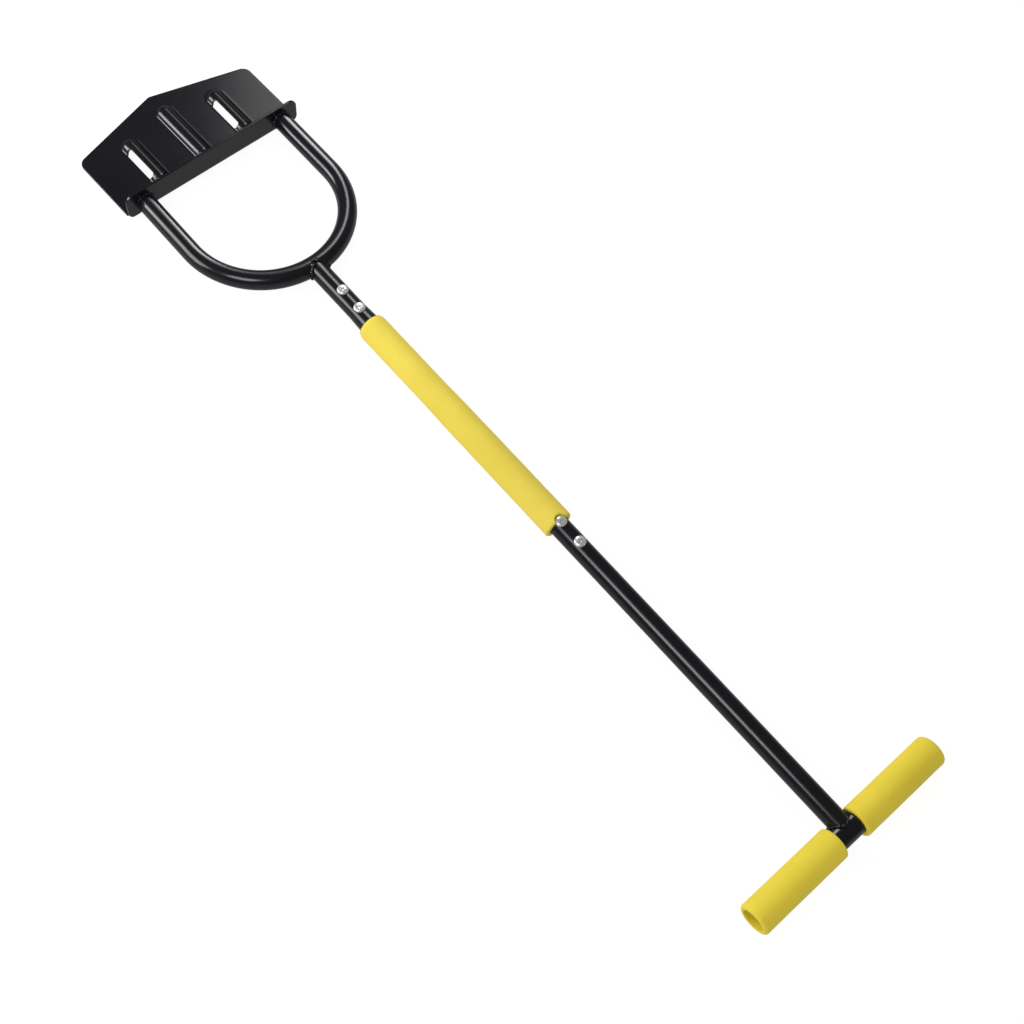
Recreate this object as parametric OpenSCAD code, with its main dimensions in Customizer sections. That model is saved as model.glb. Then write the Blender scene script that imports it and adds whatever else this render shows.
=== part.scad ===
// Step edger for lawns: a pressed blade with a foot step, welded to a bent
// tube yoke, a screwed two-joint shaft and a T handle with foam grips.
// The tool lies on its back. X runs along the shaft towards the blade tip,
// Y runs across the T handle, and Z points up from the blade's ribbed face.
// The origin is on the floor under the middle of the bounding box.

/* [Overall] */
// Length from the back of the T handle to the tip of the blade
overall_l = 993; // [900:1:1100]

/* [Tubes] */
// Outer diameter of the shaft's tubes
tube_d = 19.4; // [16:0.1:25]
// Outer diameter of the T handle's tube
cross_d = 20.6; // [18:0.1:25]
// Outer diameter of the yoke tube and its socket
yoke_d = 19.1; // [16:0.1:22]
// Wall of every tube
tube_wall = 1.5; // [1:0.1:1.8]
// Diameter of the narrowed ends that slide into the neighbouring tube
swage_d = 15.3; // [11:0.1:15.4]
// Length of each narrowed end
swage_l = 62; // [54:1:70]
// Diameter of the flared mouth of the socket
flare_d = 22; // [20:0.1:22.5]
// Length of the flare
flare_l = 28; // [12:1:30]

/* [Yoke] */
// Radius of the yoke's bend, on the tube's centreline
yoke_r = 82.5; // [70:0.5:95]
// Distance from the bottom of the bend to the step, on the centreline
yoke_l = 160; // [140:1:190]

/* [Blade] */
// Width of the blade and its step
blade_w = 204.5; // [190:0.5:240]
// Thickness of the sheet
blade_t = 2.5; // [2:0.1:3]
// Length of the straight sides, from the step to the shoulders
side_l = 85; // [78:1:95]
// Length from the step to the tip
blade_l = 112.7; // [104:0.1:130]
// Height of the step above the ribbed face
step_h = 27; // [25:1:36]
// Depth of the ribbed face below the shaft's centreline
blade_drop = 10; // [9.5:0.1:11]
// Outer radius of the fold between blade and step
fold_r = 6; // [3.5:0.5:7]
// Radius of the two shoulders
shoulder_r = 10; // [4:1:16]
// Radius of the tip
tip_r = 4; // [2:1:10]
// Radius of the step's upper corners
step_r = 9; // [4:1:11]
// Radius of the corners beside the fold
heel_r = 9; // [7.5:0.5:10]
// Turn of the blade and its step against the shaft, in degrees
blade_turn = 1.1; // [0:0.1:1.5]

/* [Ribs and slots] */
// Width of each pressed rib
rib_w = 20; // [16:0.5:24]
// Height of each rib above the face
rib_h = 6.5; // [4:0.5:7]
// Distance of the outer ribs from the middle
rib_pitch = 51.7; // [40:0.1:60]
// Distance of the middle rib from the middle of the blade
rib_shift = -1; // [-2:0.1:0]
// Gap between a rib and the step
rib_start = 13.4; // [11:0.1:20]
// Length of blade left beyond the end of the middle rib
middle_margin = 17.5; // [16:0.5:30]
// Length of blade left beyond the ends of the outer ribs, measured to the tip
outer_margin = 32; // [28:1:40]
// Width of the slot in each outer rib
slot_w = 4.8; // [4:0.1:7]
// Length of each slot
slot_l = 40; // [30:1:44]
// Distance of each slot's middle from its rib's middle
slot_shift = 6.5; // [6:0.1:7]

/* [T handle and grips] */
// Length over both T grips
handle_w = 217.4; // [200:0.1:260]
// Outer diameter of the T grips
grip_d = 29.5; // [28:0.5:36]
// Gap between the two T grips
grip_gap = 25.4; // [24:0.1:50]
// Distance of the shaft from the middle of the T handle
shaft_shift = 1.7; // [0:0.1:2]
// Depth of the cross tube's ends inside the grips
recess = 11; // [6:1:15]
// Outer diameter of the middle grip
mid_grip_d = 28.5; // [28:0.5:32]
// Distance from the T handle to the middle grip
mid_grip_x = 353; // [330:1:380]
// Length of the middle grip
mid_grip_l = 266.2; // [240:0.1:290]
// Rounding of the grips' ends
grip_edge_r = 2.5; // [1:0.5:3]

/* [Fasteners] */
// Thread diameter of the four screws
screw_d = 5; // [4:0.5:5]
// Diameter of a screw's head
head_d = 11; // [9:0.5:11]
// Height of a screw's head
head_h = 2.8; // [2.5:0.1:4]
// Distance between the screws of one joint
screw_pitch = 25.3; // [22:0.1:28]
// Distance from the middle grip to the nearest socket screw
socket_screw = 17; // [12:0.5:20]
// Width across the flats of a nut
nut_af = 8; // [7:0.5:8]
// Height of a nut
nut_h = 3.6; // [3:0.1:4]

/* [Welds] */
// Leg of the weld around each tube end
weld = 2; // [1.5:0.5:4]

/* [Hidden] */
$fn = 72;
e = 0.02;
// Bores of the tubes, and the clearance of a sliding fit
tube_bore = tube_d - 2 * tube_wall;
cross_bore = cross_d - 2 * tube_wall;
yoke_bore = yoke_d - 2 * tube_wall;
swage_bore = swage_d - 2 * tube_wall;
fit = 0.3;
// The T grips stand on the floor, which sets the height of every axis
axis_z = grip_d / 2;
tbar_x = -overall_l / 2 + grip_d / 2;
// The tip is rounded, so the outline's sharp point lies a little beyond it
tip_angle = atan((blade_l - side_l) / (blade_w / 2));
tip_x = overall_l / 2 + tip_r * (1 / cos(tip_angle) - 1);
step_x = tip_x - blade_l;
face_z = axis_z - blade_drop;
back_z = face_z - blade_t;
bend_x = step_x - yoke_l;
centre_x = bend_x + yoke_r;
// A rib is part of a round bar sunk into the sheet
bar_r = (pow(rib_w / 2, 2) + pow(rib_h, 2)) / (2 * rib_h);
bar_z = face_z + rib_h - bar_r;
rib_ends = [tip_x - outer_margin, tip_x - middle_margin, tip_x - outer_margin];
// Shaft joints
grip_x0 = tbar_x + mid_grip_x;
grip_x1 = grip_x0 + mid_grip_l;
cover = 8;
handle_end_x = grip_x0 + cover;
socket_end_x = grip_x1 - cover;
socket_rear_x = grip_x1 + socket_screw;
socket_front_x = socket_rear_x + screw_pitch;
// The middle grip is pushed a little way round the first screw of the handle
handle_front_x = grip_x0 - 0.6;
handle_rear_x = handle_front_x - screw_pitch;

// Round bar along X
module bar_x(x0, x1, d) {
    translate([x0, 0, axis_z])
        rotate([0, 90, 0])
            cylinder(h = x1 - x0, d = d);
}

// Round bar along X whose ends differ
module cone_x(x0, x1, d0, d1) {
    translate([x0, 0, axis_z])
        rotate([0, 90, 0])
            cylinder(h = x1 - x0, d1 = d0, d2 = d1);
}

// Round bar along the T handle
module bar_y(y0, y1, d) {
    translate([tbar_x, y0, axis_z])
        rotate([-90, 0, 0])
            cylinder(h = y1 - y0, d = d);
}

// Hole for a screw at x
module screw_hole(x) {
    translate([x, 0, 0])
        cylinder(h = 2 * axis_z, d = screw_d + fit);
}

// Unit vector from a to b
function unit(a, b) = (b - a) / norm(b - a);

// What a rounding of radius r removes from the corner p between a and b
module corner_cut(a, p, b, r) {
    u = unit(p, a);
    v = unit(p, b);
    half = acos(u * v) / 2;
    c = p + unit([0, 0], u + v) * r / sin(half);
    t0 = p + u * r / tan(half);
    t1 = p + v * r / tan(half);
    difference() {
        polygon([c, c + (t0 - c) * 1.2, p + (p - c) * 0.5, c + (t1 - c) * 1.2]);
        translate(c) circle(r = r);
    }
}

// Polygon whose corners have the given radii
module round_polygon(points, radii) {
    n = len(points);
    difference() {
        polygon(points);
        for (i = [0:n - 1])
            corner_cut(points[(i + n - 1) % n], points[i], points[(i + 1) % n], radii[i]);
    }
}

// Side view of the sheet: the step, the fold and the blade
module fold_profile() {
    translate([step_x, back_z + fold_r])
        square([blade_t, step_h + blade_t - fold_r]);
    translate([step_x + fold_r, back_z + fold_r])
        intersection() {
            difference() {
                circle(r = fold_r);
                circle(r = fold_r - blade_t);
            }
            translate([-fold_r, -fold_r]) square(fold_r);
        }
}

// Front view of the step
module step_outline() {
    w = blade_w / 2;
    top = face_z + step_h;
    round_polygon([[-w, back_z], [w, back_z], [w, top], [-w, top]],
                  [heel_r, heel_r, step_r, step_r]);
}

// Plan view of the flat of the blade
module blade_outline() {
    w = blade_w / 2;
    x0 = step_x + fold_r;
    shoulder_x = step_x + side_l;
    round_polygon([[x0, -w], [shoulder_x, -w], [tip_x, 0], [shoulder_x, w], [x0, w]],
                  [heel_r, shoulder_r, tip_r, shoulder_r, heel_r]);
}

// The blade's pieces, turned about the middle of the step
module turned() {
    translate([step_x, 0, 0])
        rotate([0, 0, blade_turn])
            translate([-step_x, 0, 0])
                children();
}

// Everything on the blade's side of the step's rear face
module beyond_step() {
    turned()
        translate([step_x, -blade_w, -blade_w])
            cube(2 * blade_w);
}

// Middle of rib i across the blade
function rib_y(i) = (i - 1) * rib_pitch + rib_shift;

// Bar with ball ends that shapes rib i, with its surface moved in by depth
module rib_bar(i, depth) {
    r = bar_r - depth;
    run = sqrt(pow(bar_r, 2) - pow(bar_r - rib_h, 2));
    x0 = step_x + rib_start + run;
    x1 = rib_ends[i] - run;
    translate([x0, rib_y(i), bar_z])
        rotate([0, 90, 0])
            cylinder(h = x1 - x0, r = r);
    for (x = [x0, x1])
        translate([x, rib_y(i), bar_z])
            sphere(r = r);
}

// Slot through the left flank of an outer rib
module slot(i) {
    x1 = rib_ends[i] - 15.2;
    y = rib_y(i) + slot_shift;
    for (x = [x1 - slot_l + slot_w / 2, x1 - slot_w / 2])
        translate([x, y, back_z - 1])
            cylinder(h = blade_t + rib_h + 2, d = slot_w);
    translate([x1 - slot_l + slot_w / 2, y - slot_w / 2, back_z - 1])
        cube([slot_l - slot_w, slot_w, blade_t + rib_h + 2]);
}

module blade() {
    color("dimgray")
    turned()
    difference() {
        union() {
            intersection() {
                translate([0, blade_w / 2, 0])
                    rotate([90, 0, 0])
                        linear_extrude(blade_w) fold_profile();
                translate([step_x - 1, 0, 0])
                    rotate([90, 0, 90])
                        linear_extrude(fold_r + 2) step_outline();
            }
            translate([0, 0, back_z])
                linear_extrude(blade_t) blade_outline();
            for (i = [0:2])
                intersection() {
                    rib_bar(i, 0);
                    translate([step_x, -blade_w, face_z - blade_t / 2])
                        cube([blade_l, 2 * blade_w, rib_h + blade_t]);
                }
        }
        for (i = [0:2]) rib_bar(i, blade_t);
        slot(0);
        slot(2);
    }
}

// The yoke's centreline swept by a round section of diameter d
module yoke_bar(d) {
    translate([centre_x, 0, axis_z])
        rotate_extrude(angle = 180, start = 90)
            translate([yoke_r, 0]) circle(d = d);
    for (s = [-1, 1])
        translate([centre_x, s * yoke_r, axis_z])
            rotate([0, 90, 0])
                cylinder(h = yoke_l - yoke_r + 5, d = d);
}

module yoke_tube() {
    color("dimgray")
    difference() {
        yoke_bar(yoke_d);
        yoke_bar(yoke_bore);
        beyond_step();
    }
}

module socket_tube() {
    color("dimgray")
    difference() {
        union() {
            bar_x(socket_end_x + flare_l, bend_x, yoke_d);
            cone_x(socket_end_x, socket_end_x + flare_l + e, flare_d, yoke_d);
        }
        bar_x(socket_end_x - 1, bend_x + 1, yoke_bore);
        yoke_bar(yoke_d);
        screw_hole(socket_front_x);
        screw_hole(socket_rear_x);
    }
}

module mid_tube() {
    color("dimgray")
    difference() {
        union() {
            bar_x(handle_end_x, socket_end_x, tube_d);
            bar_x(handle_end_x - swage_l, handle_end_x + e, swage_d);
            bar_x(socket_end_x - e, socket_end_x + swage_l, swage_d);
        }
        bar_x(handle_end_x + 10, socket_end_x - 10, tube_bore);
        bar_x(handle_end_x - swage_l - 1, socket_end_x + swage_l + 1, swage_bore);
        screw_hole(socket_front_x);
        screw_hole(socket_rear_x);
        screw_hole(handle_front_x);
        screw_hole(handle_rear_x);
    }
}

module handle_tube() {
    color("dimgray")
    difference() {
        bar_x(tbar_x, handle_end_x, tube_d);
        bar_x(tbar_x - 1, handle_end_x + 1, tube_bore);
        bar_y(-cross_d, cross_d, cross_d);
        screw_hole(handle_front_x);
        screw_hole(handle_rear_x);
    }
}

module cross_tube() {
    w = handle_w / 2 - recess;
    color("dimgray")
    translate([0, shaft_shift, 0])
    difference() {
        bar_y(-w, w, cross_d);
        bar_y(-w - 1, w + 1, cross_bore);
    }
}

// Half section of a foam sleeve with rounded ends, along the Y of its profile
module sleeve_profile(l, d, bore) {
    r = grip_edge_r;
    round_polygon([[bore / 2, 0], [d / 2, 0], [d / 2, l], [bore / 2, l]], [1, r, r, 1]);
}

module mid_grip() {
    color("gold")
    difference() {
        translate([grip_x0, 0, axis_z])
            rotate([0, 90, 0])
                rotate_extrude() sleeve_profile(mid_grip_l, mid_grip_d, tube_d + fit);
        bar_x(socket_end_x - 1, grip_x1 + 1, flare_d + 2 * fit);
        translate([handle_front_x, 0, axis_z])
            cylinder(h = mid_grip_d, d = head_d + 1);
        translate([handle_front_x, 0, axis_z - mid_grip_d])
            cylinder(h = mid_grip_d, d = nut_af / cos(30) + 1);
    }
}

// T grip on the side s of the shaft
module t_grip(s) {
    color("gold")
        translate([tbar_x, shaft_shift + s * grip_gap / 2, axis_z])
            rotate([-s * 90, 0, 0])
                rotate_extrude()
                    sleeve_profile((handle_w - grip_gap) / 2, grip_d, cross_d + fit);
}

// Pan-head screw at x, with a cross recess in its head
module screw(x) {
    top = axis_z + tube_d / 2 + head_h;
    dome_r = head_d * 0.85;
    color("silver")
    difference() {
        union() {
            translate([x, 0, axis_z - tube_d / 2 - nut_h - 1])
                cylinder(h = tube_d + nut_h + 1 + e, d = screw_d);
            translate([x, 0, axis_z + tube_d / 2])
                intersection() {
                    cylinder(h = head_h, d = head_d);
                    translate([0, 0, head_h - dome_r]) sphere(r = dome_r);
                }
        }
        for (a = [0, 90])
            translate([x, 0, top - 1])
                rotate([0, 0, a + 20])
                    cube([head_d * 0.45, 1.1, 2.4], center = true);
    }
}

// Hex nut at x, on the underside of the tube
module nut(x) {
    color("silver")
        translate([x, 0, axis_z - tube_d / 2 - nut_h])
            difference() {
                cylinder(h = nut_h, d = nut_af / cos(30), $fn = 6);
                translate([0, 0, -1]) cylinder(h = nut_h + 2, d = screw_d + e);
            }
}

// Fillet weld around the end of the leg on side s
module leg_weld(s) {
    color("gray")
    difference() {
        translate([step_x - s * tan(blade_turn) * yoke_r, s * yoke_r, axis_z])
            rotate([0, 90, 0])
                union() {
                    translate([0, 0, -weld])
                        cylinder(h = weld, d1 = yoke_d + 0.6, d2 = yoke_d + 2 * weld);
                    cylinder(h = 1, d = yoke_d + 2 * weld);
                }
        translate([step_x - 3 * weld, s * yoke_r, axis_z])
            rotate([0, 90, 0])
                cylinder(h = 6 * weld, d = yoke_d);
        beyond_step();
    }
}

// Fillet weld where the socket meets the bottom of the bend
module socket_weld() {
    color("gray")
    difference() {
        intersection() {
            bar_x(bend_x - yoke_d, bend_x - 1, yoke_d + weld);
            yoke_bar(yoke_d + weld);
        }
        bar_x(bend_x - yoke_d - 1, bend_x, yoke_d);
        yoke_bar(yoke_d);
    }
}

// Fillet weld where the shaft meets the T handle
module handle_weld() {
    color("gray")
    difference() {
        intersection() {
            bar_x(tbar_x + 1, tbar_x + cross_d, tube_d + weld);
            bar_y(-cross_d, cross_d, cross_d + weld);
        }
        bar_x(tbar_x, tbar_x + cross_d + 1, tube_d);
        bar_y(-cross_d - 1, cross_d + 1, cross_d);
    }
}

// The T handle is centred on the frame, so the shaft stands a little to its side
translate([0, -shaft_shift, 0]) {
    blade();
    yoke_tube();
    socket_tube();
    mid_tube();
    handle_tube();
    cross_tube();
    mid_grip();
    t_grip(1);  // left_grip
    t_grip(-1);  // right_grip
    screw(socket_front_x);  // socket_screw_front
    screw(socket_rear_x);  // socket_screw_rear
    screw(handle_front_x);  // handle_screw_front
    screw(handle_rear_x);  // handle_screw_rear
    nut(socket_front_x);  // socket_nut_front
    nut(socket_rear_x);  // socket_nut_rear
    nut(handle_front_x);  // handle_nut_front
    nut(handle_rear_x);  // handle_nut_rear
    leg_weld(1);  // left_leg_weld
    leg_weld(-1);  // right_leg_weld
    socket_weld();
    handle_weld();
}
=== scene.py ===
"""Step edger: detailed blade, grips, screws and welds, finishes, floor, lights and camera."""
import math

import bmesh
import bpy
from mathutils import Matrix, Vector, geometry, kdtree, noise

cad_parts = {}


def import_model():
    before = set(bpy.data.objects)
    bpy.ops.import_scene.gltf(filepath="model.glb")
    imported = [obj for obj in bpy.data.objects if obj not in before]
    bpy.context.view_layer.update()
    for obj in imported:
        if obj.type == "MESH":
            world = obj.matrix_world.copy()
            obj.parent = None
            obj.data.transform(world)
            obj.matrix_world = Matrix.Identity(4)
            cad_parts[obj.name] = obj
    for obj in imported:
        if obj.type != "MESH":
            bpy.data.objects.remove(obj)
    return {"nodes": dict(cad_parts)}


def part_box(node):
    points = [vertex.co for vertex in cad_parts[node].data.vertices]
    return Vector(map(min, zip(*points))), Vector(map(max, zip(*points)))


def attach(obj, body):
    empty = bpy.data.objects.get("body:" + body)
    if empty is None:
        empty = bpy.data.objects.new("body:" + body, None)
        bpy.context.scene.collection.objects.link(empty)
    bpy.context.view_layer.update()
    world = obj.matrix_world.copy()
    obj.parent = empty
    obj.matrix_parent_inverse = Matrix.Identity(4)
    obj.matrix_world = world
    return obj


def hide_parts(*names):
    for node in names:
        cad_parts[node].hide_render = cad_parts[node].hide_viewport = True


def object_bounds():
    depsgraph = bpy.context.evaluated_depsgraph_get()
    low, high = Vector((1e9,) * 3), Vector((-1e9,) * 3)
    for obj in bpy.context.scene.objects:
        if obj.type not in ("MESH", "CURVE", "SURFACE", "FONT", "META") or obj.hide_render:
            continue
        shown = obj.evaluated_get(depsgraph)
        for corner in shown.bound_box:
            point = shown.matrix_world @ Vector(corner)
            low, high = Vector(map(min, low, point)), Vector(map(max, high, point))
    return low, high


MM = 0.001
TAU = 2 * math.pi

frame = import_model()
cad_low, cad_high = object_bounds()
nodes = frame["nodes"]


def middle(name):
    low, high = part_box(name)
    return (Vector(low) + Vector(high)) / 2


def half_height(name):
    low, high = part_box(name)
    return (high.z - low.z) / 2


# ------------------------------------------------- sizes shared by the pieces
shaft_y = middle("mid_tube").y
axis_z = middle("mid_tube").z
tbar_x = middle("cross_tube").x
tube_r = half_height("handle_tube")
cross_r = half_height("cross_tube")
yoke_r = half_height("yoke_tube")
yoke_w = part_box("yoke_tube")[1].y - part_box("yoke_tube")[0].y
bend_r = yoke_w / 2 - yoke_r
bend_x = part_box("yoke_tube")[0].x + yoke_r
back_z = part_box("blade")[0].z
# The blade sits slightly askew. Its reach runs from the step's handle side to the rounded tip.
turn = math.radians(1.1)
BLADE_REACH = 112.54 * MM
step_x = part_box("blade")[1].x - BLADE_REACH


# ---------------------------------------------------------------- materials
# Noise stays close to its middle, so this part of its range is spread over a look's range.
NOISE_LOW = 0.3
NOISE_HIGH = 0.7


def new_material(name, color, rough, metal=0.0):
    material = bpy.data.materials.new(name)
    material.use_nodes = True
    tree = material.node_tree
    shader = tree.nodes["Principled BSDF"]
    shader.inputs["Base Color"].default_value = (*color, 1)
    shader.inputs["Roughness"].default_value = rough
    shader.inputs["Metallic"].default_value = metal
    return material, tree, shader


def object_noise(tree, scale, detail):
    """Noise fixed to the piece."""
    place = tree.nodes.new("ShaderNodeTexCoord")
    texture = tree.nodes.new("ShaderNodeTexNoise")
    texture.inputs["Scale"].default_value = scale
    texture.inputs["Detail"].default_value = detail
    tree.links.new(place.outputs["Object"], texture.inputs["Vector"])
    return texture.outputs["Fac"]


def ranged(tree, value, low, high):
    """The noise as a number from low to high."""
    spread = tree.nodes.new("ShaderNodeMapRange")
    spread.inputs["From Min"].default_value = NOISE_LOW
    spread.inputs["From Max"].default_value = NOISE_HIGH
    spread.inputs["To Min"].default_value = low
    spread.inputs["To Max"].default_value = high
    tree.links.new(value, spread.inputs["Value"])
    return spread.outputs["Result"]


def tinted(tree, value, dark, light):
    """The noise as a colour from dark to light."""
    ramp = tree.nodes.new("ShaderNodeValToRGB")
    ramp.color_ramp.elements[0].position = NOISE_LOW
    ramp.color_ramp.elements[1].position = NOISE_HIGH
    ramp.color_ramp.elements[0].color = (*dark, 1)
    ramp.color_ramp.elements[1].color = (*light, 1)
    tree.links.new(value, ramp.inputs["Fac"])
    return ramp.outputs["Color"]


def bumped(tree, shader, layers):
    """Unevenness from noises, each with its depth in metres."""
    normal = None
    for value, distance in layers:
        bump = tree.nodes.new("ShaderNodeBump")
        bump.inputs["Strength"].default_value = 1.0
        bump.inputs["Distance"].default_value = distance
        tree.links.new(value, bump.inputs["Height"])
        if normal:
            tree.links.new(normal, bump.inputs["Normal"])
        normal = bump.outputs["Normal"]
    tree.links.new(normal, shader.inputs["Normal"])


def powder_coat(name, rough, layers):
    """Black coat; rough is its least and most roughness, layers its noise scales and depths."""
    material, tree, shader = new_material(name, (0.004, 0.004, 0.005), rough[0])
    cloud = object_noise(tree, 28, 3)
    shade = tinted(tree, cloud, (0.0034, 0.0034, 0.0054), (0.0052, 0.0052, 0.0080))
    tree.links.new(shade, shader.inputs["Base Color"])
    grain = object_noise(tree, 140, 4)
    tree.links.new(ranged(tree, grain, *rough), shader.inputs["Roughness"])
    bumped(tree, shader, [(object_noise(tree, scale, 2), depth) for scale, depth in layers])
    return material


def foam(name, dark, light):
    """Matt closed-cell foam, slightly blotched."""
    material, tree, shader = new_material(name, light, 0.75)
    blotch = object_noise(tree, 22, 4)
    shade = tinted(tree, blotch, dark, light)
    tree.links.new(shade, shader.inputs["Base Color"])
    grain = object_noise(tree, 300, 2)
    tree.links.new(ranged(tree, grain, 0.66, 0.82), shader.inputs["Roughness"])
    shader.inputs["Specular IOR Level"].default_value = 0.2
    cells = object_noise(tree, 1100, 3)
    swell = object_noise(tree, 90, 2)
    bumped(tree, shader, [(swell, 0.00012), (cells, 0.00009)])
    return material


def zinc():
    """Bright plating with fine brushed wear."""
    material, tree, shader = new_material("bright_zinc", (0.86, 0.86, 0.87), 0.26, 0.72)
    wear = object_noise(tree, 900, 3)
    shade = tinted(tree, wear, (0.70, 0.70, 0.71), (0.94, 0.94, 0.95))
    tree.links.new(shade, shader.inputs["Base Color"])
    tree.links.new(ranged(tree, wear, 0.18, 0.34), shader.inputs["Roughness"])
    bumped(tree, shader, [(object_noise(tree, 1600, 2), 0.00002)])
    return material


black = powder_coat("gloss_powder_coat", (0.188, 0.206), [(420, 0.0000015)])
lumpy = powder_coat("lumpy_powder_coat", (0.10, 0.15), [(700, 0.0003), (1900, 0.00006)])
yellow = foam("yellow_foam", (0.660, 0.525, 0.038), (0.705, 0.560, 0.048))
# The shaft's sleeve gets a paler, bluer copy of the same foam. This is painted light standing in
# for the brighter, washed-out light on that sleeve, not a different foam.
pale = foam("yellow_foam_with_painted_light", (0.622, 0.494, 0.056), (0.670, 0.532, 0.070))
bright = zinc()


# ------------------------------------------------------------ making a piece
def closed_mesh(name, points, faces):
    """A mesh whose faces all look outwards."""
    mesh = bpy.data.meshes.new(name)
    mesh.from_pydata([tuple(point) for point in points], [], faces)
    shape = bmesh.new()
    shape.from_mesh(mesh)
    bmesh.ops.recalc_face_normals(shape, faces=shape.faces)
    shape.to_mesh(mesh)
    shape.free()
    return mesh


def make_piece(name, points, faces, material, replaced):
    """A closed skin that rides on the part and stands for the replaced nodes."""
    mesh = closed_mesh(name, points, faces)
    for face in mesh.polygons:
        face.use_smooth = True
    mesh.materials.append(material)
    piece = bpy.data.objects.new(name, mesh)
    bpy.context.collection.objects.link(piece)
    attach(piece, "root")
    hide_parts(*replaced)
    return piece


def tube_faces(rows, columns):
    """Quads of a closed skin: rows and columns both run right round."""
    faces = []
    for i in range(rows):
        for j in range(columns):
            a = i * columns + j
            b = i * columns + (j + 1) % columns
            c = (i + 1) % rows * columns + (j + 1) % columns
            d = (i + 1) % rows * columns + j
            faces.append((a, b, c, d))
    return faces


# -------------------------------------------------------------------- blade
# Millimetres, with x from the step's handle side towards the tip and z up from the back.
SHEET = 2.5
FOLD = 6.0  # outside radius of the fold
HALF_W = 102.25
STEP_TOP = 27.0 + SHEET
SIDE = 85.0  # where the sides turn in to the tip
TIP = 112.7
STEP_R = 9
EAR_R = 6
SLIT_R = 0.5
HEEL_R = 1.2
SHOULDER_R = 10
TIP_R = 4
EDGE = 0.5  # rounding of every cut edge
RIB_H = 6.5
CROWN = 9.5  # radius across a rib's crown
FILLET = 2.5  # radius of the hollow at a rib's foot
RIB_SHIFT = -1.0
RIB_Y = 51.7
RIB_START = 13.4
OUTER_END = 80.7
MIDDLE_END = 95.2
SLOT_END = OUTER_END - 15.2
SLOT_L = 40.0
SLOT_R = 2.6
SLOT_Y = 6.7
# A slit in from each side at the fold leaves a flat ear on the step.
SLIT = -2.1
SLIT_HALF = 0.55
SLIT_DEPTH = 16.0
EAR_RISE = 1.2
EAR_FADE = 4
NUDGE = 0.05  # small step for a slope
MID_FOLD = FOLD - SHEET / 2
FOLD_RUN = MID_FOLD * math.pi / 2
rib_lean = math.acos(1 - RIB_H / (CROWN + FILLET))
rib_half = (CROWN + FILLET) * math.sin(rib_lean)
end_inset = rib_half - 1.0  # from a rib's visible end to the centre of its round end
ribs = [(RIB_SHIFT - RIB_Y, OUTER_END), (RIB_SHIFT, MIDDLE_END), (RIB_SHIFT + RIB_Y, OUTER_END)]


def rib_height(x, y):
    """Height of the pressed ribs over the flat: a round crown, then a hollow foot."""
    for centre, end in ribs:
        along = min(max(x, RIB_START + end_inset), end - end_inset)
        away = math.hypot(x - along, y - centre)
        if away < CROWN * math.sin(rib_lean):
            return RIB_H - CROWN + math.sqrt(CROWN ** 2 - away ** 2)
        if away < rib_half:
            return FILLET - math.sqrt(FILLET ** 2 - (rib_half - away) ** 2)
    return 0.0


def on_face(run, y):
    """Point of the ribbed face, where run is measured along the sheet from the fold."""
    if run >= 0:
        return Vector((FOLD + run, y, SHEET + rib_height(FOLD + run, y)))
    if run > -FOLD_RUN:
        angle = -run / MID_FOLD
        inner = FOLD - SHEET
        folded = Vector((FOLD - inner * math.sin(angle), y, FOLD - inner * math.cos(angle)))
        flat = Vector((FOLD + run, y, SHEET))
        if run < SLIT:
            flat = Vector((SHEET, y, FOLD - (run + FOLD_RUN) * EAR_RISE))
        ear = min(max((abs(y) - HALF_W + SLIT_DEPTH) / EAR_FADE, 0), 1)
        return folded.lerp(flat, ear * ear * (3 - 2 * ear))
    return Vector((SHEET, y, FOLD - run - FOLD_RUN))


def face_normal(run, y):
    """Direction straight out of the ribbed face."""
    along = on_face(run + NUDGE, y) - on_face(run - NUDGE, y)
    across = on_face(run, y + NUDGE) - on_face(run, y - NUDGE)
    return along.cross(across).normalized()


def rounded(corners, radii, spacing):
    """Closed polyline through the corners, each rounded, with evenly spaced points."""
    path = []
    count = len(corners)
    for i in range(count):
        p = Vector(corners[i])
        u = (Vector(corners[i - 1]) - p).normalized()
        v = (Vector(corners[(i + 1) % count]) - p).normalized()
        half = math.acos(u.dot(v)) / 2
        centre = p + (u + v).normalized() * radii[i] / math.sin(half)
        start = p + u * radii[i] / math.tan(half) - centre
        stop = p + v * radii[i] / math.tan(half) - centre
        sweep = start.angle_signed(stop)
        steps = max(4, math.ceil(abs(sweep) * radii[i] / spacing))
        for k in range(steps + 1):
            path.append(centre + Matrix.Rotation(-sweep * k / steps, 2) @ start)
    dense = []
    for i, p in enumerate(path):
        q = path[(i + 1) % len(path)]
        steps = max(1, math.ceil((q - p).length / spacing))
        for k in range(steps):
            dense.append(p.lerp(q, k / steps))
    return dense


def outward(path):
    """Directions away from the inside of a closed path that runs anticlockwise."""
    result = []
    for i in range(len(path)):
        tangent = path[(i + 1) % len(path)] - path[i - 1]
        result.append(Vector((tangent.y, -tangent.x)).normalized())
    return result


def blade_border():
    """Outline of the flattened sheet, whose fold is at run 0."""
    top = -(STEP_TOP - FOLD + FOLD_RUN)
    end = HALF_W - SLIT_DEPTH
    side = [
        (top, HALF_W, STEP_R),
        (SLIT - SLIT_HALF, HALF_W, EAR_R),
        (SLIT - SLIT_HALF, end, SLIT_R),
        (SLIT + SLIT_HALF, end, SLIT_R),
        (SLIT + SLIT_HALF, HALF_W, HEEL_R),
        (SIDE - FOLD, HALF_W, SHOULDER_R),
    ]
    low_side = [(run, -y, radius) for run, y, radius in side]
    outline = [*low_side, (TIP - FOLD, 0, TIP_R), *reversed(side)]
    corners = [(run, y) for run, y, radius in outline]
    radii = [radius for run, y, radius in outline]
    return rounded(corners, radii, spacing=1.2)


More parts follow.
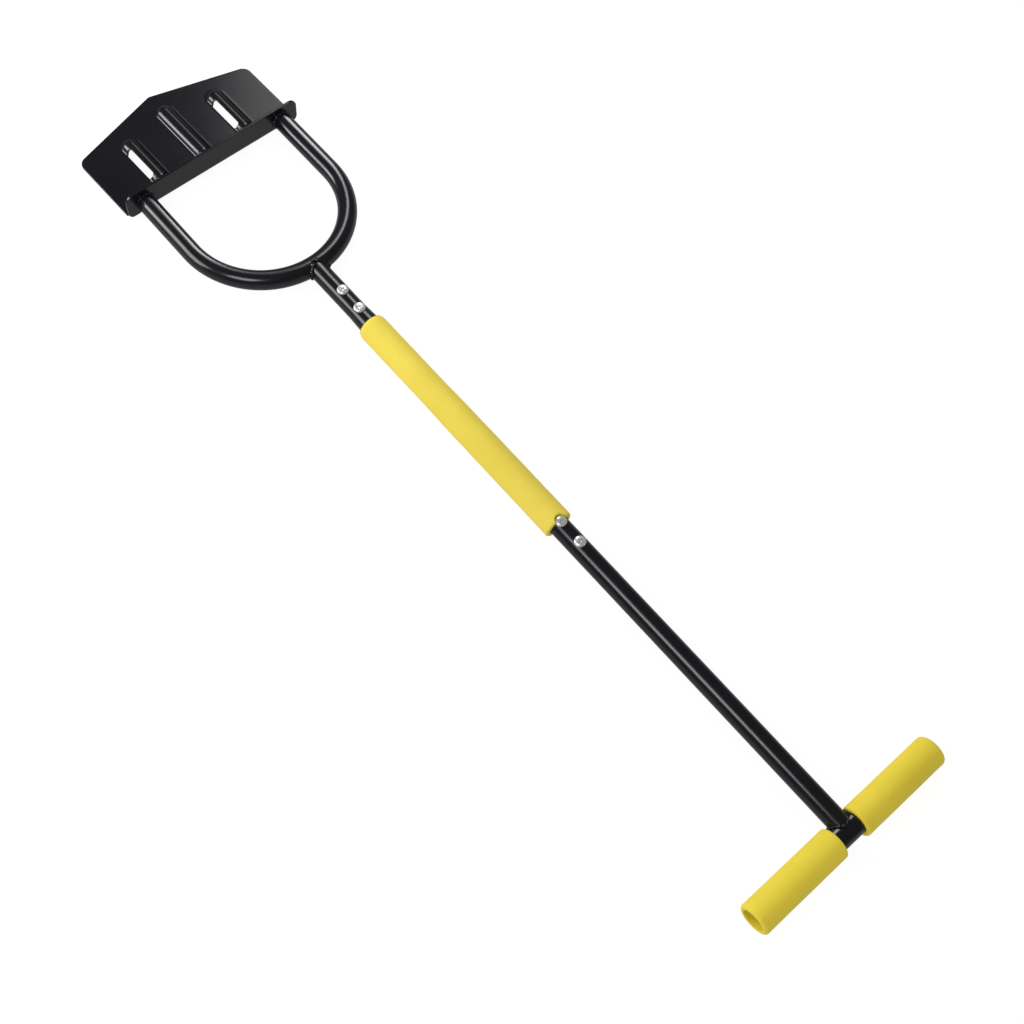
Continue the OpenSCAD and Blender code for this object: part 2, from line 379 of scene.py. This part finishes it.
def slot_border(rib):
    """Outline of the slot beside this rib, flattened like the sheet's."""
    x1 = SLOT_END - FOLD
    x0 = x1 - SLOT_L
    y0 = rib + SLOT_Y - SLOT_R
    y1 = rib + SLOT_Y + SLOT_R
    end_r = SLOT_R - 0.01
    return rounded([(x0, y0), (x1, y0), (x1, y1), (x0, y1)], [end_r] * 4, spacing=0.6)


def inside(point, path):
    """Whether a line from the point crosses the closed path an odd number of times."""
    crossings = False
    for i in range(len(path)):
        a = path[i - 1]
        b = path[i]
        if (a.y > point.y) != (b.y > point.y):
            if point.x < a.x + (point.y - a.y) * (b.x - a.x) / (b.y - a.y):
                crossings = not crossings
    return crossings


def fill_points(edges):
    """Points inside the sheet: close on the ribs and the fold, wide on the flats."""
    near = kdtree.KDTree(len(edges))
    for i, p in enumerate(edges):
        near.insert((p.x, p.y, 0), i)
    near.balance()
    points = []

    def add(run, y, gap):
        if near.find((run, y, 0))[2] > gap:
            points.append(Vector((run, y)))

    step_rows = [-FOLD_RUN - 24 + 3 * i for i in range(8)]
    fold_rows = [-8.4 + 0.7 * i for i in range(13)]
    face_rows = [1 + 1.3 * i for i in range(82)]
    for run in step_rows + fold_rows + face_rows:
        y = -HALF_W
        while y < HALF_W:
            off_rib = min(abs(y - rib) for rib, end in ribs)
            on_rib = run > RIB_START - FOLD - 3 and off_rib < rib_half + 1
            pace, gap = (0.75, 0.5) if on_rib else (2.6, 0.9)
            add(run, y, gap)
            y += pace
    return points


def sheet_faces(loops, points):
    """Triangles between the border, the slots and the points, by their own numbering."""
    corners = [p for loop in loops for p in loop] + points
    edges = []
    start = 0
    for loop in loops:
        count = len(loop)
        edges += [(start + i, start + (i + 1) % count) for i in range(count)]
        start += count
    result = geometry.delaunay_2d_cdt(corners, edges, [], 0, 1e-6)
    spots, faces, sources = result[0], result[2], result[3]
    place = {}
    for i, source in enumerate(sources):
        for original in source:
            place[original] = i
    kept = []
    for face in faces:
        centre = sum((spots[i] for i in face), Vector((0, 0))) / 3
        if inside(centre, loops[0]) and not any(inside(centre, hole) for hole in loops[1:]):
            kept.append(tuple(face))
    return spots, kept, place


def to_world(point):
    """From the blade's own millimetres to the frame, with the blade's small turn."""
    x = point.x * math.cos(turn) - point.y * math.sin(turn)
    y = point.x * math.sin(turn) + point.y * math.cos(turn)
    return Vector((step_x + x * MM, shaft_y + y * MM, back_z + point.z * MM))


def edge_profile():
    """Steps down and out round a cut edge, from the face to the back."""
    arc = [math.radians(a) for a in (22, 45, 68, 90)]
    upper = [(EDGE * (1 - math.cos(a)), EDGE * math.sin(a)) for a in arc]
    return upper + [(SHEET - down, out) for down, out in reversed(upper)]


def build_blade():
    """One closed sheet: its ribbed face, its back and the rounded edges between them."""
    border = blade_border()
    holes = [slot_border(RIB_SHIFT - RIB_Y), slot_border(RIB_SHIFT + RIB_Y)]
    loops = [[p - d * EDGE for p, d in zip(border, outward(border))]]
    aways = [outward(border)]
    for hole in holes:
        loops.append([p + d * EDGE for p, d in zip(hole, outward(hole))])
        aways.append([-d for d in outward(hole)])
    flat = [p for loop in loops for p in loop]
    wanted = [p for p in fill_points(flat) if inside(p, loops[0])]
    wanted = [p for p in wanted if not any(inside(p, hole) for hole in loops[1:])]
    spots, triangles, place = sheet_faces(loops, wanted)
    count = len(spots)
    tops = [on_face(p.x, p.y) for p in spots]
    normals = [face_normal(p.x, p.y) for p in spots]
    points = tops + [top - normal * SHEET for top, normal in zip(tops, normals)]
    faces = triangles + [tuple(reversed([i + count for i in face])) for face in triangles]
    start = 0
    for loop, away in zip(loops, aways):
        size = len(loop)
        own = [place[start + i] for i in range(size)]
        rings = [own]
        for down, out in edge_profile():
            rings.append(list(range(len(points), len(points) + size)))
            for k, d in zip(own, away):
                beside = on_face(spots[k].x + d.x * NUDGE, spots[k].y + d.y * NUDGE)
                tangent = (beside - tops[k]).normalized()
                points.append(tops[k] + tangent * out - normals[k] * down)
        rings.append([k + count for k in own])
        for upper, lower in zip(rings, rings[1:]):
            for i in range(size):
                j = (i + 1) % size
                faces.append((upper[i], upper[j], lower[j], lower[i]))
        start += size
    used = sorted({i for face in faces for i in face})
    number = {old: new for new, old in enumerate(used)}
    points = [to_world(points[i]) for i in used]
    faces = [tuple(number[i] for i in face) for face in faces]
    make_piece("ribbed_blade", points, faces, black, ["blade"])


# -------------------------------------------------------------- foam sleeves
BORE_STEP = 6 * MM
SKIN_STEP = 1.6 * MM
SWELL = 0.10 * MM
DIMPLE = 0.025 * MM
PLAY = 0.15 * MM  # between a sleeve's bore and its tube
T_LIPS = (1.8 * MM, 2.8 * MM)
T_MOUTH = 0.7 * MM
MIDDLE_LIPS = (2.0 * MM, 3.2 * MM)
MIDDLE_MOUTH = 0.8 * MM
TAPER = 0.2 * MM
TAPER_START = 140 * MM
TAPER_RUN = 30 * MM
HEAD_GIVE = 5.6 * MM  # radius kept free of foam round the screw's head
NUT_GIVE = 5.1 * MM  # and, on the other side, round its nut
GIVE_REACH = 16 * MM
SOCKET_GROWTH = 1.0 * MM
SOCKET_PLAY = 0.9 * MM
SOCKET_COVER = 8 * MM


def sleeve_section(length, outer, bore, lips, mouth):
    """Closed half section (along, radius) of a sleeve with soft ends, in metres."""
    section = []
    quarter = [i * math.pi / 12 for i in range(7)]  # 0 to 90 degrees
    lip, far_lip = lips
    for a in quarter:
        section.append((lip * (1 - math.sin(a)), outer - lip * (1 - math.cos(a))))
    for a in quarter:
        section.append((mouth * (1 - math.cos(a)), bore + mouth * (1 - math.sin(a))))
    inner = max(2, round(length / BORE_STEP))
    for i in range(1, inner):
        section.append((mouth + (length - 2 * mouth) * i / inner, bore))
    for a in reversed(quarter):
        section.append((length - mouth * (1 - math.cos(a)), bore + mouth * (1 - math.sin(a))))
    for a in reversed(quarter):
        section.append((length - far_lip * (1 - math.sin(a)), outer - far_lip * (1 - math.cos(a))))
    skin = max(2, round(length / SKIN_STEP))
    for i in range(1, skin):
        section.append((length - far_lip - (length - lip - far_lip) * i / skin, outer))
    return section


def soften(along, angle, radius, seed):
    """Small uneven swelling of the foam's skin."""
    place = Vector((along * 60 + seed, math.sin(angle) * 1.3, math.cos(angle) * 1.3))
    fine = Vector((along * 350, math.sin(angle) * 5, math.cos(angle) * 5 + seed))
    return radius + SWELL * noise.noise(place) + DIMPLE * noise.noise(fine)


def t_sleeve(name, node, side):
    """A sleeve of the T handle, from the shaft out to the side."""
    low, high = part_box(node)
    length = high.y - low.y
    outer = (high.z - low.z) / 2
    section = sleeve_section(length, outer, cross_r + PLAY, T_LIPS, T_MOUTH)
    inner_y = low.y if side > 0 else high.y
    columns = 120
    skin_from = outer - 0.5 * MM
    points = []
    for along, radius in section:
        for j in range(columns):
            angle = TAU * j / columns
            r = radius
            if radius > skin_from:
                r = min(soften(along, angle, radius, side * 3), outer)
            x = tbar_x + r * math.sin(angle)
            points.append(Vector((x, inner_y + side * along, axis_z + r * math.cos(angle))))
    faces = tube_faces(len(section), columns)
    piece = make_piece(name, points, faces, yellow, [node])


def pushed_back(head_x, end_x, radius, y):
    """How far the sleeve's end gives way round a fastener of this radius."""
    if abs(y) >= radius:
        return 0.0
    return max(0.0, head_x + math.sqrt(radius ** 2 - y ** 2) - end_x)


def middle_sleeve():
    """The shaft's sleeve: thicker towards the handle, and pushed back round its first screw."""
    low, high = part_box("mid_grip")
    length = high.x - low.x
    outer = (high.z - low.z) / 2
    bore = tube_r + PLAY
    socket_bore = tube_r + SOCKET_GROWTH + SOCKET_PLAY
    section = sleeve_section(length, outer, bore, MIDDLE_LIPS, MIDDLE_MOUTH)
    screw_x = middle("handle_screw_front").x
    columns = 168
    skin_from = tube_r + 2 * MM
    points = []
    for along, radius in section:
        taper = TAPER - 2 * TAPER * min(max((along - TAPER_START) / TAPER_RUN, 0), 1)
        for j in range(columns):
            angle = TAU * j / columns
            r = radius
            if radius > skin_from:
                r = soften(along, angle, radius + taper, 11)
            elif along > length - SOCKET_COVER:
                r = max(radius, socket_bore + (radius - bore))
            y = r * math.sin(angle)
            z = r * math.cos(angle)
            size = HEAD_GIVE if z > 0 else NUT_GIVE
            give = pushed_back(screw_x, low.x, size, y) * max(0, 1 - along / GIVE_REACH) ** 1.5
            x = low.x + along + give
            points.append(Vector((x, shaft_y + y, axis_z + z)))
    faces = tube_faces(len(section), columns)
    # The paler foam copy used here is painted light for the more brightly lit shaft sleeve.
    piece = make_piece("middle_sleeve", points, faces, pale, ["mid_grip"])


# -------------------------------------------------------------------- screws
SHANK_R = 2.5 * MM
HEAD_SINK = 0.4 * MM  # how far a head's flat underside reaches into the round tube
HEAD_RIM = 0.7 * MM
RIM_FOOT = 0.1 * MM
RIM_EASE = 0.3 * MM
DOME_STEPS = 9
# Height, arm length and half width of the driver's cross, from over the head downwards, in mm.
CROSS = ((1.2, 3.5, 0.80), (-1.3, 2.6, 0.66), (-2.6, 1.2, 0.5))


def lathe(section, columns, centre):
    """Closed skin turned about a vertical line; the section starts and ends on it."""
    points = [centre + Vector((0, 0, section[0][1]))]
    for radius, z in section[1:-1]:
        for j in range(columns):
            angle = TAU * j / columns
            points.append(centre + Vector((radius * math.cos(angle), radius * math.sin(angle), z)))
    points.append(centre + Vector((0, 0, section[-1][1])))
    rows = len(section) - 2
    last = len(points) - 1
    faces = []
    for j in range(columns):
        k = (j + 1) % columns
        faces.append((0, 1 + k, 1 + j))
        faces.append((last, 1 + (rows - 1) * columns + j, 1 + (rows - 1) * columns + k))
        for i in range(rows - 1):
            a = 1 + i * columns
            b = a + columns
            faces.append((a + j, a + k, b + k, b + j))
    return points, faces


def driver_cross(centre, angle):
    """Tapered cross-shaped punch, pointing down from the centre."""
    arms = []
    for k in range(4):
        a = angle + k * math.pi / 2
        u = Vector((math.cos(a), math.sin(a), 0))
        v = Vector((-u.y, u.x, 0))
        arms.append((u, v))
    points = []
    for z, reach, half in CROSS:
        for u, v in arms:
            points.append(centre + (u * reach - v * half + Vector((0, 0, z))) * MM)
            points.append(centre + (u * reach + v * half + Vector((0, 0, z))) * MM)
            points.append(centre + ((u + v) * half + Vector((0, 0, z))) * MM)
    faces = []
    corners = 3 * len(arms)
    for i in range(len(CROSS) - 1):
        row = i * corners
        for j in range(corners):
            k = (j + 1) % corners
            faces.append((row + j, row + k, row + corners + k, row + corners + j))
    faces.append(tuple(range(corners)))
    faces.append(tuple(range(len(points) - corners, len(points))))
    tool = bpy.data.objects.new("punch", closed_mesh("punch", points, faces))
    bpy.context.collection.objects.link(tool)
    return tool


def pan_screw(node, angle):
    """Screw on the CAD screw's place, with a domed head and a cross recess at this angle."""
    low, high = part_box(node)
    centre = middle(node)
    centre.z = 0
    head_r = (high.x - low.x) / 2
    seat = axis_z + tube_r
    top = high.z
    under = seat - HEAD_SINK
    section = [(0, low.z), (SHANK_R, low.z), (SHANK_R, under), (head_r - RIM_EASE, under)]
    section += [(head_r, seat + RIM_FOOT), (head_r, seat + HEAD_RIM)]
    rise = top - seat - HEAD_RIM
    for i in range(1, DOME_STEPS):
        a = i * math.pi / (2 * DOME_STEPS)
        section.append((head_r * math.cos(a) ** 0.8, seat + HEAD_RIM + rise * math.sin(a)))
    section.append((0, top))
    points, faces = lathe(section, 48, centre)
    piece = make_piece(node + "_detail", points, faces, bright, [node])
    tool = driver_cross(Vector((centre.x, centre.y, top)), math.radians(angle))
    cut = piece.modifiers.new("recess", "BOOLEAN")
    cut.operation = "DIFFERENCE"
    cut.solver = "EXACT"
    cut.object = tool
    bpy.context.view_layer.update()
    seen = piece.evaluated_get(bpy.context.evaluated_depsgraph_get())
    done = bpy.data.meshes.new_from_object(seen)
    piece.modifiers.clear()
    piece.data = done
    bpy.data.objects.remove(tool)
    done.set_sharp_from_angle(angle=math.radians(35))


# --------------------------------------------------------------------- welds
BEAD_POINTS = 150
BEAD_SIDES = 12
RIPPLE_POINTS = 7
LEG_BEAD = 1.0 * MM
SOCKET_BEAD = 1.7 * MM
HANDLE_BEAD = 1.4 * MM
BEAD_OUT = 0.4 * MM
BEAD_SPREAD = 1.03


def ring(radius):
    """Pairs (y, z) round a tube's end."""
    angles = [TAU * i / BEAD_POINTS for i in range(BEAD_POINTS)]
    return [(radius * math.sin(angle), radius * math.cos(angle)) for angle in angles]


def bead(name, node, centres, size, seed):
    """Rippled, uneven bead swept along a closed line of joint points."""
    count = len(centres)
    points = []
    for i, centre in enumerate(centres):
        along = (centres[(i + 1) % count] - centres[i - 1]).normalized()
        side = along.cross(Vector((1, 0, 0))).normalized()
        up = side.cross(along)
        lump = 1 + 0.16 * math.sin(i * TAU / RIPPLE_POINTS + seed)
        lump += 1.1 * noise.noise(centre * 420 + Vector((seed, 0, 0)))
        for j in range(BEAD_SIDES):
            angle = TAU * j / BEAD_SIDES
            rough = 1 + 0.4 * noise.noise(centre * 1500 + Vector((j, seed, 0)))
            r = size * lump * rough
            points.append(centre + (side * math.cos(angle) + up * math.sin(angle)) * r)
    make_piece(name, points, tube_faces(count, BEAD_SIDES), lumpy, [node])


def leg_beads():
    """Where the yoke's legs meet the step."""
    for side, name in ((1, "left"), (-1, "right")):
        centres = []
        for across, up in ring(yoke_r + 0.2 * MM):
            y = side * bend_r + across
            x = step_x - y * math.tan(turn) - 0.5 * MM
            centres.append(Vector((x, shaft_y + y, axis_z + up)))
        bead(name + "_leg_bead", name + "_leg_weld", centres, LEG_BEAD, side * 2)


def socket_bead():
    """Where the socket's coped end meets the outside of the yoke's bend."""
    centres = []
    for y, z in ring(yoke_r):
        arc_r = bend_r + math.sqrt(max(yoke_r ** 2 - z ** 2, 0))
        x = bend_x + bend_r - math.sqrt(arc_r ** 2 - y ** 2) - BEAD_OUT
        centres.append(Vector((x, shaft_y + y * BEAD_SPREAD, axis_z + z * BEAD_SPREAD)))
    bead("socket_bead", "socket_weld", centres, SOCKET_BEAD, 5)


def handle_bead():
    """Where the handle tube's coped end meets the cross tube."""
    centres = []
    for y, z in ring(tube_r):
        x = tbar_x + math.sqrt(cross_r ** 2 - z ** 2) + BEAD_OUT
        centres.append(Vector((x, shaft_y + y * BEAD_SPREAD, axis_z + z * BEAD_SPREAD)))
    bead("handle_bead", "handle_weld", centres, HANDLE_BEAD, 9)


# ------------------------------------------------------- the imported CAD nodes
NUT_BEVEL = 0.35 * MM


def finish_cad(name, material):
    body = nodes[name]
    body.data.materials.clear()
    body.data.materials.append(material)


def bevel_nut(name):
    """Small bevels on the nut's corners, by a modifier over its unchanged mesh."""
    edge = nodes[name].modifiers.new("chamfer", "BEVEL")
    edge.width = NUT_BEVEL
    edge.segments = 2
    edge.limit_method = "ANGLE"


for name in ("yoke_tube", "socket_tube", "mid_tube", "handle_tube", "cross_tube"):
    finish_cad(name, black)
for name in ("socket_nut_front", "socket_nut_rear", "handle_nut_front", "handle_nut_rear"):
    finish_cad(name, bright)
    bevel_nut(name)
build_blade()
t_sleeve("left_sleeve", "left_grip", 1)
t_sleeve("right_sleeve", "right_grip", -1)
middle_sleeve()
pan_screw("socket_screw_front", 20)
pan_screw("socket_screw_rear", 65)
pan_screw("handle_screw_front", 40)
pan_screw("handle_screw_rear", 5)
leg_beads()
socket_bead()
handle_bead()


# ------------------------------------------------------------------- studio
LENS = 48.75
ROLL = math.radians(11.0)


def by_ray(tree, kind, other, this):
    """A value for light rays of this kind, and another for the rest."""
    path = tree.nodes.new("ShaderNodeLightPath")
    spread = tree.nodes.new("ShaderNodeMapRange")
    spread.inputs["To Min"].default_value = other
    spread.inputs["To Max"].default_value = this
    tree.links.new(path.outputs[kind], spread.inputs["Value"])
    return spread.outputs["Result"]


def floor():
    """White ground, dimmer in reflections so that the coats stay dark."""
    bpy.ops.mesh.primitive_plane_add(size=12, location=(0, 0, cad_low.z))
    plane = bpy.context.object
    plane.name = "floor"
    material, tree, shader = new_material("pale_floor", (0.08, 0.08, 0.08), 1.0)
    shader.inputs["Specular IOR Level"].default_value = 0.0
    shader.inputs["Emission Color"].default_value = (1, 1, 1, 1)
    gloss = by_ray(tree, "Is Glossy Ray", 0.94, 0.36)
    tree.links.new(gloss, shader.inputs["Emission Strength"])
    plane.data.materials.append(material)


def softbox(name, at, aim, width, depth, radiance, tilt=0):
    """Rectangular lamp of this radiance, turned about its own aim by the tilt in degrees."""
    light = bpy.data.lights.new(name, "AREA")
    light.shape = "RECTANGLE"
    light.size = width
    light.size_y = depth
    light.energy = radiance * math.pi * width * depth
    lamp = bpy.data.objects.new(name, light)
    bpy.context.collection.objects.link(lamp)
    direction = Vector(aim) - Vector(at)
    aimed = direction.to_track_quat("-Z", "Y").to_matrix().to_4x4()
    lamp.matrix_world = Matrix.Translation(at) @ aimed @ Matrix.Rotation(math.radians(tilt), 4, "Z")
    return lamp


def spare_blade(lamp):
    """This lamp leaves out the blade, so the right side of its ribs stays dark."""
    spared = bpy.data.collections.new("not_lit_by_" + lamp.name)
    spared.objects.link(bpy.data.objects["ribbed_blade"])
    lamp.light_linking.receiver_collection = spared
    spared.collection_objects[0].light_linking.link_state = "EXCLUDE"


def camera():
    lens = bpy.data.cameras.new("camera")
    lens.sensor_width = 36
    lens.lens = LENS
    lens.clip_end = 50
    eye = Vector((-0.4347, 0.4442, 1.11855))
    aim = Vector((-0.0925, 0.0222, 0.01475))
    look = (aim - eye).to_track_quat("-Z", "Y").to_matrix().to_4x4()
    roll = Matrix.Rotation(ROLL, 4, "Z")
    holder = bpy.data.objects.new("camera", lens)
    holder.matrix_world = Matrix.Translation(eye) @ look @ roll
    bpy.context.collection.objects.link(holder)
    bpy.context.scene.camera = holder


def world():
    """White sky: full for the camera, weaker as light, and weakest in reflections."""
    sky = bpy.data.worlds.new("studio")
    sky.use_nodes = True
    tree = sky.node_tree
    seen = by_ray(tree, "Is Camera Ray", 0.0, 0.45)
    gloss = by_ray(tree, "Is Glossy Ray", 0.57, 0.13)
    total = tree.nodes.new("ShaderNodeMath")
    tree.links.new(seen, total.inputs[0])
    tree.links.new(gloss, total.inputs[1])
    back = tree.nodes["Background"]
    back.inputs["Color"].default_value = (1, 1, 1, 1)
    tree.links.new(total.outputs["Value"], back.inputs["Strength"])
    bpy.context.scene.world = sky


floor()
camera()
world()
softbox("left_box", (0.60, 0.56, 0.37), (0.25, 0, 0), 0.42, 0.34, 6.4)
softbox("left_far_box", (0.97, 0.60, 0.36), (0.42, 0, 0), 0.24, 0.32, 10.0)
right_box = softbox("right_box", (0.70, -0.46, 0.40), (0.33, 0, 0), 0.20, 0.30, 11.5)
spare_blade(right_box)
softbox("right_wide_box", (1.18, -0.68, 0.966), (0.42, -0.05, 0), 0.30, 0.5, 2.1)
softbox("right_high_box", (0.52, -0.36, 0.64), (0.17, 0, 0), 0.24, 0.28, 6.0)
softbox("top_box", (-0.12, 0.79, 1.055), (-0.27, 0, 0), 0.62, 0.46, 6.5, 18)
bpy.context.scene.view_settings.view_transform = "Standard"
